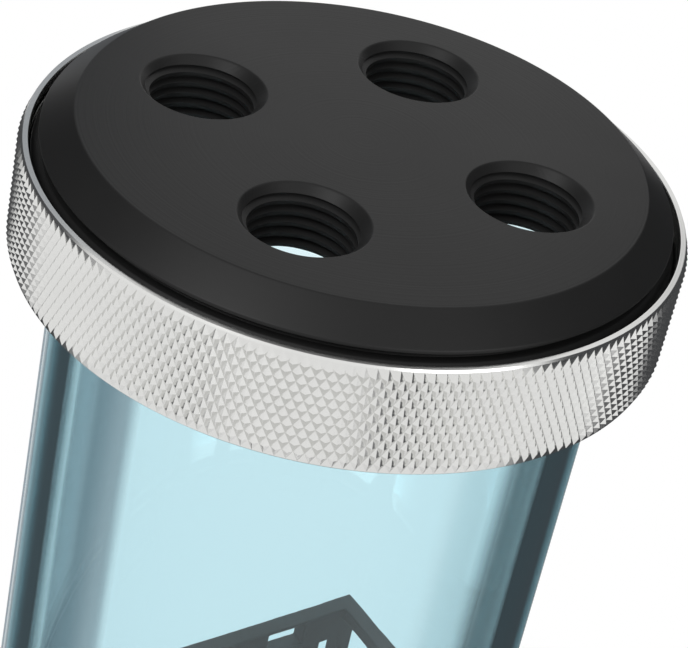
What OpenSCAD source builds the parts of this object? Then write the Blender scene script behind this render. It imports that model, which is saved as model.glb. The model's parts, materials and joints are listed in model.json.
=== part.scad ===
// Coolant pump reservoir: a tinted tube clamped between a four-port cap and a
// pump base by two knurled compression rings. Millimetres, +Z up. The origin
// is the middle of the underside, which stands on the floor.

/* [Tube] */
// Outside diameter of the tube
tube_d = 63.5; // [60:0.5:66]
// Wall of the tube
tube_wall = 3.2; // [2.5:0.1:4]
// Length of the tube
tube_len = 110; // [90:1:200]

/* [Knurled rings] */
// Diameter over the knurl
ring_d = 75; // [74:0.5:82]
// Height of the whole ring
ring_h = 13.1; // [12.6:0.1:16]
// Height of the lip that presses the slip washer
ring_lip_h = 2; // [1.5:0.1:3]
// Diameter of the screw thread, at mid flank
ring_thread_d = 71.2; // [70:0.1:72]
// Diameter of the plain mouth
ring_mouth_d = 72.5; // [72:0.1:73]
// Depth of the plain mouth
ring_mouth_h = 1.6; // [1:0.1:2.2]
// Bevel of a ring's mouth edge
ring_bevel = 0.7; // [0.3:0.1:1]
// Bevel of a ring's lip edge
ring_lip_bevel = 0.3; // [0.2:0.1:0.8]

/* [Cap] */
// Diameter of the flat top face
cap_face_d = 63.7; // [60:0.1:66]
// Diameter below the chamfer
cap_d = 70.6; // [68:0.1:72]
// Height of the chamfer
cap_chamfer_h = 2.85; // [2:0.05:3.4]
// Straight land below the chamfer
cap_land_h = 0.5; // [0.3:0.1:1]
// Diameter at the bottom of the relief groove
cap_groove_d = 68; // [66:0.1:70]
// Height of the relief groove
cap_groove_h = 1; // [0.6:0.1:1.6]
// Thickness of the plate that the ports go through
cap_plate_h = 7.5; // [6.5:0.1:9]
// How far the ring's upper edge lies below the cap's face
ring_drop = 3.93; // [3.6:0.01:4.4]

/* [Ports] */
// Bore of the four top ports, at the thread's crests
port_d = 11.8; // [11:0.1:13]
// Diameter of the countersink at the mouth
port_mouth_d = 14.3; // [13.5:0.1:16]
// Distance between neighbouring port axes
port_pitch = 27.14; // [24:0.01:28]

/* [Seals] */
// Section of the two tube seals
tube_seal_d = 2.62; // [2.2:0.02:2.8]
// Thickness of the slip washers
washer_h = 1; // [0.8:0.1:1.5]
// Section of the seal above the pump's flange
flange_seal_d = 2.2; // [1.8:0.1:2.4]
// How far the middle of that seal lies inside the flange's edge
flange_seal_inset = 3; // [2.4:0.1:4]
// Section of the plug's seal
plug_seal_d = 1.8; // [1.4:0.1:2]

/* [Base block] */
// Width and depth of the block
block_w = 82; // [80:1:96]
// Height of the block
block_h = 40; // [39:0.5:50]
// Height of the block's underside above the floor
block_lift = 26; // [20:0.5:28]
// Radius of the upright corners
block_corner_r = 14; // [8:0.5:16]
// Bevel of the upper edge
block_bevel = 2; // [1:0.1:3]
// Gap between the block and the lower ring
ring_gap = 0.6; // [0.4:0.1:1.5]
// Diameter of the four mounting holes
mount_hole_d = 3.3; // [3:0.1:4.3]
// Depth of the mounting holes
mount_hole_h = 10; // [6:0.5:14]
// Distance between mounting holes
mount_pitch = 62; // [60:0.5:66]

/* [Coolant ways] */
// Bore of the outlets, at the thread's crests
outlet_d = 11.8; // [11:0.1:12]
// Thread depth of the outlets
outlet_len = 12; // [10:0.5:12.5]
// Distance of the outlets' axes from the middle
outlet_offset = 18.5; // [17:0.5:19]
// Height of the outlets' axes above the pump's flange
outlet_rise = 9; // [8.6:0.1:9.5]
// Diameter of the countersink at an outlet's mouth
outlet_mouth_d = 14.3; // [13.5:0.1:15.5]
// Way from the volute to an outlet
passage_d = 9; // [7:0.5:10]
// Height of the volute
volute_h = 14.5; // [14:0.5:16]
// Smallest radius of the volute
volute_r = 21.5; // [21:0.1:22.5]
// Growth of the volute's radius over one turn
volute_growth = 4; // [2:0.5:5]
// Diameter of the way down from the tube
eye_d = 17; // [14:0.5:18]
// Diameter of the funnel at the tube's floor
funnel_d = 30; // [24:1:34]
// Depth of the funnel
funnel_h = 7; // [4:0.5:9]

/* [Vortex cage] */
// Height of the cage
cage_h = 34.5; // [20:0.5:50]
// Corner diameter of the cage
cage_d = 55.4; // [50:0.1:56]
// Width of the cage's narrow, open sides
cage_w = 24; // [22:0.5:38]
// Wall of the cage
cage_wall = 2.4; // [1.8:0.1:3.5]
// Height of the thin rails on the open sides
cage_rail_h = 2; // [1.5:0.1:4]
// Height of the slotted band on the barred sides
cage_band_h = 5; // [4:0.5:10]
// Distance between the bars
cage_bar_pitch = 8.9; // [6:0.1:11]
// Width of a bar
cage_bar_w = 3; // [1.6:0.1:3.5]
// Turn of the cage about the tube's axis
cage_turn = 8; // [-45:0.5:45]

/* [Pump] */
// Diameter of the pump's can
can_d = 60; // [56:0.5:61]
// Height of the can up to the flange
can_h = 38; // [36:0.5:44]
// Wall of the can
can_wall = 2; // [1.5:0.1:3]
// Thickness of the can's cover
cover_h = 3; // [2.5:0.1:4]
// How far the pump's flange stands out past the can
flange_rim = 3; // [2:0.1:4]
// Thickness of the flange
flange_h = 3.5; // [3:0.1:5]
// Wall of the retaining ring
keeper_wall = 4.25; // [4:0.05:5]
// Height of the retaining ring
keeper_h = 8; // [6:0.5:10]
// Width of the four spanner notches in the retaining ring
keeper_notch = 5; // [3:0.5:7]
// Inner radius of the rotor well
well_r = 21; // [20.6:0.1:21.5]
// Wall of the rotor well
well_wall = 1.2; // [0.8:0.1:1.5]
// Radius of the rotor
rotor_r = 20.3; // [19.5:0.1:20.3]
// Radius of the bearing ball
ball_r = 2.4; // [2:0.1:3]
// Height of the bearing pin
pin_h = 6; // [4:0.5:7]
// Radius of the bearing pin
pin_r = 2; // [1.5:0.1:2.4]

/* [Impeller] */
// Number of blades
blades = 7; // [5:1:9]
// Height of the blades
blade_h = 7; // [5:0.5:7.5]
// Thickness of a blade
blade_t = 1.2; // [0.9:0.1:1.6]
// Radius of a blade's arc
blade_arc_r = 12; // [11.5:0.1:13]
// Distance of that arc's middle from the shaft
blade_arc_offset = 11; // [10.5:0.1:11.4]
// Thickness of the impeller's plates
plate_t = 1.5; // [1:0.1:2]
// Radius of the hub
hub_r = 4.5; // [4:0.1:5.5]

/* [Motor] */
// Number of stator teeth and windings
teeth = 6; // [3:1:6]
// Height of the stator
stator_h = 13; // [10:0.5:14]
// Radial depth of the stator's ring
stator_ring_t = 3; // [2:0.1:4]
// Width of a stator tooth
tooth_w = 6; // [4:0.5:7]
// Thickness of a winding round its tooth
coil_t = 1.8; // [1:0.1:2]
// Thickness of the circuit board
board_t = 1.6; // [1:0.1:2]
// Height of the board's underside above the floor
board_lift = 8; // [7.5:0.1:9]
// Radius of the speed dial
dial_r = 4.9; // [4:0.1:6]
// Distance of the dial's middle from the can's side
dial_inset = 14; // [12:0.5:18]
// Width of the speed control's body
pot_w = 10; // [7:0.5:11]
// Radius of the board's capacitors
capacitor_r = 3; // [2:0.1:3.5]
// Height of the board's capacitors
capacitor_h = 6; // [4:0.5:7]
// Width of the driver chip
chip_w = 10; // [6:0.5:12]
// Height of the driver chip
chip_h = 1.6; // [1:0.1:2.5]
// Width of the cable's socket on the board
socket_w = 12; // [8:0.5:14]
// Depth of the cable's socket on the board
socket_l = 6; // [4:0.5:7]
// Height of the cable's socket on the board
socket_h = 3; // [2:0.1:4]

/* [Plug and gland] */
// Diameter of the plug's head
plug_head_d = 16; // [15.6:0.1:16.6]
// Thickness of the plug's head
plug_head_h = 3.2; // [3:0.1:4]
// Thread length of the plug
plug_len = 8; // [6:0.5:9]
// Hexagon key size of the plug
plug_key = 6; // [5:0.5:7]
// Outer diameter of the cable gland
gland_d = 8; // [6:0.5:9]
// How far the gland stands out of the can
gland_len = 6; // [4:0.5:9]
// Bore of the gland
gland_bore_d = 5; // [3:0.1:5.5]

/* [Clearances] */
// Radial clearance of a screw thread and of the dial's shaft
fit_gap = 0.05; // [0.02:0.01:0.1]
// Clearance round pieces that move freely
free_gap = 0.35; // [0.3:0.05:0.5]

/* [Hidden] */
$fn = 96;
eps = 0.01;      // a cut runs this far past the face it opens

// Heights, from the floor up
flange_top = can_h + flange_h;
volute_top = flange_top + volute_h;
outlet_z = flange_top + outlet_rise;
block_top = block_lift + block_h;
low_ring_z = block_top + ring_gap;
seat_in = cap_plate_h - ring_drop;              // tube's end, from a ring's mouth
floor_z = low_ring_z + seat_in;
tube_top = floor_z + tube_len;
top_z = tube_top + cap_plate_h;
high_ring_z = top_z - ring_drop;

// The compression joint, as distances from a ring's mouth
groove_end = cap_chamfer_h + cap_land_h + cap_groove_h - ring_drop;
lip_at = ring_h - ring_lip_h;
slip_gap = 0.05;                                // between pieces that slide by each other
washer_at = lip_at - slip_gap - washer_h;
seal_at = washer_at - slip_gap - tube_seal_d;
skirt_gap = 0.25;
skirt_end = washer_at - skirt_gap;

// Radii
tube_r = tube_d / 2;
tube_bore_r = tube_r - tube_wall;
seat_gap = 0.1;                                 // round a piece that is pushed home
thread_r = ring_thread_d / 2;
seal_room_r = tube_r + tube_seal_d + seat_gap;
flange_d = can_d + 2 * flange_rim;
flange_seal_ring_d = flange_d - 2 * flange_seal_inset;
keeper_bore_r = can_d / 2 + free_gap;
keeper_d = 2 * (keeper_bore_r + keeper_wall);
dial_offset = can_d / 2 - dial_inset;
well_z = flange_top;                            // middle of the rotor well's ball shape
ball_z = well_z - well_r + pin_h + ball_r / 2;
plate_r = rotor_r;
cup_r = 5.2;
magnet_r = rotor_r - 1.5;
port_r = port_d / 2;
outlet_r = outlet_d / 2;
plug_seal_r = outlet_r + plug_seal_d / 2;
key_at = 8;                                     // angle between the plug's flats and upright

module upper_joint() translate([0, 0, high_ring_z]) mirror([0, 0, 1]) children();
module lower_joint() translate([0, 0, low_ring_z]) children();
module around(count, turn = 0) for (i = [0:count - 1]) rotate(turn + 360 * i / count) children();
module at_corners(pitch) for (x = [-1, 1], y = [-1, 1]) translate([x * pitch / 2, y * pitch / 2]) children();

// A hole for a G1/4 fitting, from its mouth down, with its countersink
module port_hole(r, mouth_r, depth) {
    translate([0, 0, -depth]) cylinder(r = r, h = depth + eps);
    translate([0, 0, r - mouth_r]) cylinder(r1 = r, r2 = mouth_r, h = mouth_r - r);
    cylinder(r = mouth_r, h = 1);
}

// ---- The compression joint ----

module knurled_ring() color("silver") rotate_extrude() {
    r = ring_d / 2;
    lip_r = tube_r + free_gap;
    screw_r = thread_r + fit_gap;
    polygon([
        [ring_mouth_d / 2, 0], [r - ring_bevel, 0], [r, ring_bevel],
        [r, ring_h - ring_lip_bevel], [r - ring_lip_bevel, ring_h], [lip_r, ring_h],
        [lip_r, lip_at], [screw_r, lip_at], [screw_r, ring_mouth_h], [ring_mouth_d / 2, ring_mouth_h]
    ]);
}

module slip_washer() color("white") translate([0, 0, washer_at]) difference() {
    cylinder(r = thread_r - free_gap, h = washer_h);
    translate([0, 0, -eps]) cylinder(r = tube_r + free_gap, h = washer_h + 2 * eps);
}

module tube_seal() color("dimgray") translate([0, 0, seal_at + tube_seal_d / 2])
    rotate_extrude() translate([tube_r + tube_seal_d / 2, 0]) circle(d = tube_seal_d, $fn = 48);

// The threaded skirt that a ring screws on, with the seal's room at its end and
// the tube's seat inside, down to the axis
function skirt() = [
    [cap_groove_d / 2, groove_end], [thread_r, groove_end], [thread_r, skirt_end],
    [seal_room_r, skirt_end], [seal_room_r, seal_at], [tube_r + seat_gap, seal_at],
    [tube_r + seat_gap, seat_in], [0, seat_in]
];

// ---- Cap and tube ----

module top_cap() color("#26282a") difference() {
    chamfer_end = cap_chamfer_h - ring_drop;
    land_end = chamfer_end + cap_land_h;
    upper_joint() rotate_extrude() polygon(concat([
        [0, -ring_drop], [cap_face_d / 2, -ring_drop], [cap_d / 2, chamfer_end],
        [cap_d / 2, land_end], [cap_groove_d / 2, land_end]
    ], skirt()));
    translate([0, 0, top_z]) at_corners(port_pitch) port_hole(port_r, port_mouth_d / 2, cap_plate_h + eps);
}

module top_tube_seal() upper_joint() tube_seal();
module top_slip_washer() upper_joint() slip_washer();
module top_ring() upper_joint() knurled_ring();
module bottom_ring() lower_joint() knurled_ring();
module bottom_slip_washer() lower_joint() slip_washer();
module bottom_tube_seal() lower_joint() tube_seal();

module reservoir_tube() color("lightblue", 0.4) translate([0, 0, floor_z]) difference() {
    cylinder(r = tube_r, h = tube_len);
    translate([0, 0, -eps]) cylinder(r = tube_bore_r, h = tube_len + 2 * eps);
}

// An oblong cage that stops the coolant from spinning: two long barred sides
// with a slotted band on top, and two narrow open sides with thin rails
module vortex_cage() color("#26282a") translate([0, 0, floor_z]) rotate(cage_turn) {
    long = sqrt(pow(cage_d, 2) - pow(cage_w, 2));
    edge_x = cage_w / 2;
    edge_y = long / 2;
    inner = cage_w - 2 * cage_wall;
    band_z = cage_h - cage_band_h;
    slots = [[0.24, 0.12, 0.68], [0.57, 0.05, 0.6]];     // place, width and height, as shares of the band
    bars = floor((edge_y - cage_wall - cage_bar_w) / cage_bar_pitch);
    for (turn = [0, 180]) rotate(turn) {
        difference() {
            translate([-edge_x, -edge_y, band_z]) cube([cage_wall, long, cage_band_h]);
            for (s = slots) translate([
                -edge_x - eps, edge_y - (s[0] + s[1] / 2) * long, cage_h - cage_band_h * (0.12 + s[2])
            ]) cube([cage_wall + 2 * eps, s[1] * long, cage_band_h * s[2]]);
        }
        translate([-edge_x, -edge_y, 0]) cube([cage_wall, long, cage_rail_h]);
        for (i = [-bars:bars]) translate([-edge_x, i * cage_bar_pitch - cage_bar_w / 2, cage_rail_h - eps])
            cube([cage_wall, cage_bar_w, band_z - cage_rail_h + 2 * eps]);
        for (y = [-edge_y, edge_y - cage_wall]) translate([-edge_x, y, cage_rail_h - eps])
            cube([cage_wall, cage_wall, band_z - cage_rail_h + 2 * eps]);
        for (z = [0, cage_h - cage_rail_h]) translate([-inner / 2 - eps, edge_y - cage_wall, z])
            cube([inner + 2 * eps, cage_wall, cage_rail_h]);
    }
}

// ---- Base block ----

// A square block with round corners, bevelled at its upper and lower edge
module block() translate([0, 0, block_lift]) {
    flat = block_w - 2 * block_corner_r;
    half = block_w / 2;
    r = block_corner_r;
    for (turn = [0, 90]) rotate(turn) rotate([90, 0, 0]) translate([0, 0, -flat / 2]) linear_extrude(flat)
        polygon([
            [block_bevel - half, 0], [half - block_bevel, 0], [half, block_bevel],
            [half, block_h - block_bevel], [half - block_bevel, block_h],
            [block_bevel - half, block_h], [-half, block_h - block_bevel], [-half, block_bevel]
        ]);
    at_corners(flat) rotate_extrude() polygon([
        [0, 0], [r - block_bevel, 0], [r, block_bevel],
        [r, block_h - block_bevel], [r - block_bevel, block_h], [0, block_h]
    ]);
}

// The volute's wall runs outwards in the way that the impeller turns
module volute() linear_extrude(volute_h + eps) polygon([
    for (a = [0:7.5:352.5]) let (r = volute_r + volute_growth * a / 360)
        [r * cos(a - 90), r * sin(a - 90)]
]);

module to_outlet(turn)
    rotate(turn) translate([block_w / 2, -outlet_offset, outlet_z]) rotate([0, 90, 0]) children();

module pump_housing() color("#26282a") difference() {
    union() {
        block();
        lower_joint() rotate_extrude()
            polygon(concat([[0, -ring_gap - 1], [cap_groove_d / 2, -ring_gap - 1]], skirt()));
    }
    // Pump pocket, from the underside up
    translate([0, 0, block_lift - eps]) cylinder(r = keeper_d / 2 + fit_gap, h = can_h - block_lift + eps);
    translate([0, 0, can_h - eps]) cylinder(r = flange_d / 2 + seat_gap, h = flange_h + eps);
    translate([0, 0, flange_top - eps]) difference() {
        cylinder(r = flange_seal_ring_d / 2 + flange_seal_d / 2 + seat_gap, h = flange_seal_d + eps);
        translate([0, 0, -eps])
            cylinder(r = flange_seal_ring_d / 2 - flange_seal_d / 2 - seat_gap, h = flange_seal_d + 3 * eps);
    }
    // Coolant way from the tube's floor to the volute
    translate([0, 0, flange_top - eps]) volute();
    translate([0, 0, volute_top - eps]) cylinder(d = eye_d, h = floor_z - volute_top);
    translate([0, 0, floor_z - funnel_h]) cylinder(d1 = eye_d, d2 = funnel_d, h = funnel_h);
    translate([0, 0, floor_z - eps]) cylinder(d = funnel_d, h = 1);
    // Outlet and, half a turn on, the spare outlet with its plug's seat
    for (turn = [0, 180]) to_outlet(turn) {
        port_hole(outlet_r, outlet_mouth_d / 2, outlet_len);
        translate([0, 0, -block_w / 2]) cylinder(d = passage_d, h = block_w / 2 - outlet_len + eps);
    }
    to_outlet(180) {
        translate([0, 0, -plug_head_h]) cylinder(r = plug_head_d / 2 + free_gap, h = plug_head_h + 1);
        translate([0, 0, -plug_head_h - plug_seal_d])
            cylinder(r = plug_seal_r + plug_seal_d / 2 + seat_gap, h = plug_seal_d + eps);
    }
    // Mounting holes
    translate([0, 0, block_lift - eps]) at_corners(mount_pitch)
        cylinder(d = mount_hole_d, h = mount_hole_h + eps);
}

module outlet_plug() color("silver") to_outlet(180) difference() {
    union() {
        translate([0, 0, -plug_head_h]) cylinder(d = plug_head_d, h = plug_head_h - ring_lip_bevel);
        translate([0, 0, -ring_lip_bevel])
            cylinder(d1 = plug_head_d, d2 = plug_head_d - 2 * ring_lip_bevel, h = ring_lip_bevel);
        translate([0, 0, -plug_head_h - plug_len]) cylinder(r = outlet_r - fit_gap, h = plug_len + eps);
    }
    translate([0, 0, -plug_head_h - plug_len / 2]) rotate(key_at)
        cylinder(d = plug_key / cos(30), h = plug_head_h + plug_len / 2 + eps, $fn = 6);
}

module outlet_plug_seal() color("dimgray") to_outlet(180) translate([0, 0, -plug_head_h - plug_seal_d / 2])
    rotate_extrude() translate([plug_seal_r, 0]) circle(d = plug_seal_d, $fn = 48);

module pump_flange_seal() color("dimgray") translate([0, 0, flange_top + flange_seal_d / 2])
    rotate_extrude() translate([flange_seal_ring_d / 2, 0]) circle(d = flange_seal_d, $fn = 48);

module retaining_ring() color("gray") translate([0, 0, can_h - keeper_h]) difference() {
    cylinder(d = keeper_d, h = keeper_h);
    translate([0, 0, -eps]) cylinder(r = keeper_bore_r, h = keeper_h + 2 * eps);
    around(4) translate([keeper_bore_r - 1, -keeper_notch / 2, -eps])
        cube([keeper_wall + 2, keeper_notch, keeper_notch / 2]);
}

// ---- Rotor well, bearing and rotor ----

module below(z) intersection() {
    children();
    translate([0, 0, z - can_d]) cylinder(r = can_d, h = can_d);
}

module rotor_well() color("lightgray") difference() {
    union() {
        translate([0, 0, can_h]) cylinder(d = flange_d, h = flange_h);
        below(can_h + eps) translate([0, 0, well_z]) sphere(r = well_r + well_wall);
    }
    translate([0, 0, well_z]) sphere(r = well_r);
}

module bearing_pin() color("silver") difference() {
    translate([0, 0, well_z - well_r]) cylinder(r = pin_r, h = pin_h);
    translate([0, 0, ball_z]) sphere(r = ball_r);
    translate([0, 0, well_z]) difference() {
        sphere(r = well_r + well_wall);
        sphere(r = well_r);
    }
}

module bearing_ball() color("white") translate([0, 0, ball_z]) sphere(r = ball_r);

module bearing_cup() color("dimgray") difference() {
    translate([0, 0, ball_z]) cylinder(r = cup_r, h = well_z - ball_z);
    translate([0, 0, ball_z]) sphere(r = ball_r + fit_gap);
}

module rotor_shell() color("#3a3d40") difference() {
    below(well_z) translate([0, 0, well_z]) sphere(r = rotor_r);
    translate([0, 0, well_z]) sphere(r = magnet_r + fit_gap);
    translate([0, 0, well_z - rotor_r - eps]) cylinder(r = cup_r, h = rotor_r);
}

module rotor_magnet() color("#55504a") difference() {
    below(well_z) translate([0, 0, well_z]) sphere(r = magnet_r);
    translate([0, 0, well_z - rotor_r]) cylinder(r = cup_r + fit_gap, h = rotor_r + eps);
}

// The blades sweep back from the way that the impeller turns
module blade() intersection() {
    translate([blade_arc_offset, 0]) difference() {
        circle(r = blade_arc_r + blade_t / 2);
        circle(r = blade_arc_r - blade_t / 2);
    }
    circle(r = plate_r - free_gap);
    translate([-plate_r, 0]) square([2 * plate_r, plate_r]);
}

module impeller() color("#3a3d40") translate([0, 0, well_z]) {
    cylinder(r = plate_r, h = plate_t);
    translate([0, 0, plate_t - eps]) linear_extrude(blade_h + eps) union() {
        circle(r = hub_r);
        around(blades) blade();
    }
}

module impeller_shroud() color("#4a4d50") translate([0, 0, well_z + plate_t + blade_h]) {
    neck_r = eye_d / 2 + slip_gap;
    neck_h = volute_h - plate_t - blade_h - 2 * free_gap;
    rotate_extrude() polygon([
        [neck_r, 0], [plate_r, 0], [plate_r, plate_t], [neck_r + 2 * plate_t, plate_t],
        [neck_r + plate_t, 2 * plate_t], [neck_r + plate_t, neck_h], [neck_r, neck_h]
    ]);
}

// ---- Motor ----

stator_z = can_h - 5 - stator_h;
board_top = board_lift + board_t;
gland_z = (board_top + stator_z) / 2;
gland_flange = 1;                               // thickness and reach of the gland's two flanges
boss_r = 3;
boss_at = can_d / 2 - can_wall - boss_r + 1;
screw_r = 1.4;
screw_head_r = 2.6;
screw_head_h = 1.4;
screw_recess = 0.4;

module motor_can() color("#2e3033") difference() {
    translate([0, 0, cover_h]) difference() {
        cylinder(d = can_d, h = can_h - cover_h);
        translate([0, 0, -eps]) difference() {
            cylinder(r = can_d / 2 - can_wall, h = can_h - cover_h + 2 * eps);
            around(3, 30) translate([boss_at, 0]) cylinder(r = boss_r, h = board_lift - cover_h + eps);
        }
    }
    around(3, 30) translate([boss_at, 0, cover_h - eps])
        cylinder(r = screw_r + fit_gap, h = board_lift - cover_h - 1);
    translate([0, 0, gland_z]) rotate([90, 0, 0]) cylinder(d = gland_d + 2 * fit_gap, h = can_d);
}

module can_cover() color("#2e3033") difference() {
    rotate_extrude() polygon([
        [0, 0], [can_d / 2 - ring_bevel, 0], [can_d / 2, ring_bevel], [can_d / 2, cover_h], [0, cover_h]
    ]);
    translate([dial_offset, 0, -eps]) cylinder(r = dial_r + free_gap, h = cover_h + 2 * eps);
    around(3, 30) translate([boss_at, 0, -eps]) {
        cylinder(r = screw_r + seat_gap, h = cover_h + 2 * eps);
        cylinder(r = screw_head_r + seat_gap, h = screw_recess + screw_head_h + eps);
    }
}

module cover_screws() color("silver") around(3, 30) translate([boss_at, 0, screw_recess]) difference() {
    union() {
        cylinder(r = screw_head_r, h = screw_head_h);
        cylinder(r = screw_r, h = board_lift - screw_recess - 2);
    }
    translate([0, 0, -eps]) cylinder(r = screw_r * 0.85, h = screw_head_h * 0.65, $fn = 6);
}

stator_r = can_d / 2 - can_wall - free_gap;
stator_inner_r = 15;
well_room_r = well_r + well_wall + free_gap;

module stator_core() color("#6b6e72") difference() {
    translate([0, 0, stator_z]) {
        difference() {
            cylinder(r = stator_r, h = stator_h);
            translate([0, 0, -eps]) cylinder(r = stator_r - stator_ring_t, h = stator_h + 2 * eps);
        }
        around(teeth) translate([stator_inner_r, -tooth_w / 2, coil_t])
            cube([stator_r - stator_inner_r - stator_ring_t / 2, tooth_w, stator_h - 2 * coil_t]);
    }
    translate([0, 0, well_z]) sphere(r = well_room_r);
}

module stator_windings() color("#b87333") difference() {
    translate([0, 0, stator_z]) around(teeth) {
        outer = sqrt(pow(stator_r - stator_ring_t, 2) - pow(tooth_w / 2 + coil_t, 2));
        long = outer - stator_inner_r - 2 * free_gap;
        translate([stator_inner_r + free_gap, 0, 0]) difference() {
            translate([0, -tooth_w / 2 - coil_t, 0]) cube([long, tooth_w + 2 * coil_t, stator_h]);
            translate([-eps, -tooth_w / 2 - seat_gap, coil_t - seat_gap])
                cube([long + 2 * eps, tooth_w + 2 * seat_gap, stator_h - 2 * coil_t + 2 * seat_gap]);
        }
    }
    translate([0, 0, well_z]) sphere(r = well_room_r + free_gap);
}

module circuit_board() color("darkgreen") translate([0, 0, board_lift])
    cylinder(r = can_d / 2 - can_wall - free_gap, h = board_t);

module board_components() color("#4a4a4a") translate([0, 0, board_top]) {
    edge = stator_r - capacitor_r - 1;
    around(3, 75) translate([(edge + chip_w / 2) / 2 + capacitor_r, 0])
        cylinder(r = capacitor_r, h = capacitor_h);
    translate([-chip_w / 2, -chip_w / 2, 0]) cube([chip_w, chip_w, chip_h]);
    translate([-socket_w / 2, -edge, 0]) cube([socket_w, socket_l, socket_h]);
}

dial_z = 0.6;
dial_h = 2;
dial_shaft_r = 1.5;
dial_slot_w = 0.9;
pot_h = 3;
pot_roof = 0.6;

module speed_pot() color("royalblue") translate([dial_offset, 0, board_lift - pot_h]) difference() {
    translate([-pot_w / 2, -pot_w / 2, 0]) cube([pot_w, pot_w, pot_h]);
    translate([0, 0, -eps]) cylinder(r = dial_shaft_r + fit_gap, h = pot_h - pot_roof);
}

module speed_dial() color("crimson") translate([dial_offset, 0, dial_z]) difference() {
    union() {
        cylinder(r = dial_r, h = dial_h);
        cylinder(r = dial_shaft_r, h = board_lift - 2 * pot_roof - dial_z);
    }
    translate([dial_slot_w - dial_r, -dial_slot_w / 2, -eps])
        cube([2 * (dial_r - dial_slot_w), dial_slot_w, dial_slot_w]);
}

// The gland's inner flange lies against the can's curved wall
module cable_gland() color("#202224") translate([0, 0, gland_z]) rotate([90, 0, 0]) difference() {
    wall = can_d / 2;
    neck_r = gland_d / 2;
    flange_r = neck_r + gland_flange;
    inside = sqrt(pow(wall - can_wall, 2) - pow(flange_r, 2)) - slip_gap;
    rotate_extrude() polygon([
        [0, inside - gland_flange], [flange_r, inside - gland_flange], [flange_r, inside],
        [neck_r, inside], [neck_r, wall + free_gap], [flange_r, wall + free_gap],
        [flange_r, wall + 2 * gland_flange], [neck_r - gland_flange / 2, wall + gland_len],
        [0, wall + gland_len]
    ]);
    translate([0, 0, inside - 2 * gland_flange])
        cylinder(d = gland_bore_d, h = wall - inside + gland_len + 3 * gland_flange);
}

top_cap();
top_tube_seal();
top_slip_washer();
top_ring();
reservoir_tube();
vortex_cage();
bottom_ring();
bottom_slip_washer();
bottom_tube_seal();
pump_housing();
outlet_plug();
outlet_plug_seal();
pump_flange_seal();
retaining_ring();
rotor_well();
bearing_pin();
bearing_ball();
bearing_cup();
rotor_shell();
rotor_magnet();
impeller();
impeller_shroud();
motor_can();
can_cover();
cover_screws();
stator_core();
stator_windings();
circuit_board();
board_components();
speed_pot();
speed_dial();
cable_gland();
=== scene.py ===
"""Dresses the coolant pump reservoir: a tinted tube between a four-port acetal cap and a pump base,
held by two knurled compression rings."""

import json
import math

import bmesh
import bpy
from mathutils import Matrix, Vector


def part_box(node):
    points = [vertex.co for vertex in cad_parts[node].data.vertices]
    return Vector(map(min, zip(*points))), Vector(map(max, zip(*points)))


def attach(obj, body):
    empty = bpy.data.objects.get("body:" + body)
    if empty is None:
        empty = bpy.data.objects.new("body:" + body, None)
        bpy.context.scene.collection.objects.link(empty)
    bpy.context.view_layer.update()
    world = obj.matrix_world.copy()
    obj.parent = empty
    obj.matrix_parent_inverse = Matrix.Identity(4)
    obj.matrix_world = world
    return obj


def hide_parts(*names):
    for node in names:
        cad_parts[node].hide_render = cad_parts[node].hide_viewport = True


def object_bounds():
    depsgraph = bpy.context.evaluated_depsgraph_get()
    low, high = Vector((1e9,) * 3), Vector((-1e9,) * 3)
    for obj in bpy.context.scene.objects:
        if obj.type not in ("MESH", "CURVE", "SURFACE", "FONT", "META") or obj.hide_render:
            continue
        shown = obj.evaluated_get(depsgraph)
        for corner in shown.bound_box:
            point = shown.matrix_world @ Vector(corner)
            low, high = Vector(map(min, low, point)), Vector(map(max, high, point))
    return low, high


bl_info = {
    "name": "Coolant Pump Reservoir",
    "version": (1, 0, 0),
    "blender": (4, 5, 0),
    "location": "View3D > Sidebar > Reservoir",
    "description": "Models and finishes a tube reservoir with a ported cap, knurled rings and a pump base",
    "category": "Object",
}

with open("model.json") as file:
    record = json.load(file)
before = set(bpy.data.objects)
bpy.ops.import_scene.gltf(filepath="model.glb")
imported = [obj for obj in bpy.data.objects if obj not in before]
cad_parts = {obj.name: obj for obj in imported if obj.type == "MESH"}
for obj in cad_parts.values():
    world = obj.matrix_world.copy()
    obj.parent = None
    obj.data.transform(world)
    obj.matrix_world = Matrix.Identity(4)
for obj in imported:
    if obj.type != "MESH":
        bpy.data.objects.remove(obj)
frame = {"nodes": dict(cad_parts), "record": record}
CAD_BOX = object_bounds()
NODES = frame["nodes"]
MM = 0.001

# Places that come from the frame, in metres
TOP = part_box("top_cap")[1].z
CAP_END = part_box("top_cap")[0].z
RING_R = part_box("top_ring")[1].x
RING_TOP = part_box("top_ring")[1].z
RING_H = RING_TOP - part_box("top_ring")[0].z
LOW_RING_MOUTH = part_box("bottom_ring")[0].z
TUBE_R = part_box("reservoir_tube")[1].x
TUBE_FROM, TUBE_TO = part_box("reservoir_tube")[0].z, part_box("reservoir_tube")[1].z
HOUSING_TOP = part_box("pump_housing")[1].z
MOUNTS = {m["name"]: m for m in frame["record"]["mounts"]}
PORTS = [Vector(m["pos_m"]) for name, m in MOUNTS.items() if name.startswith("port_")]
OUTLET = Vector(MOUNTS["outlet"]["pos_m"])

# How finely round things are drawn
ROUND = 256              # sides of the cap, the tube and the block's skirt
WIDE_THREAD_STEPS = 144  # steps in a turn of the rings' threads

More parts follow.
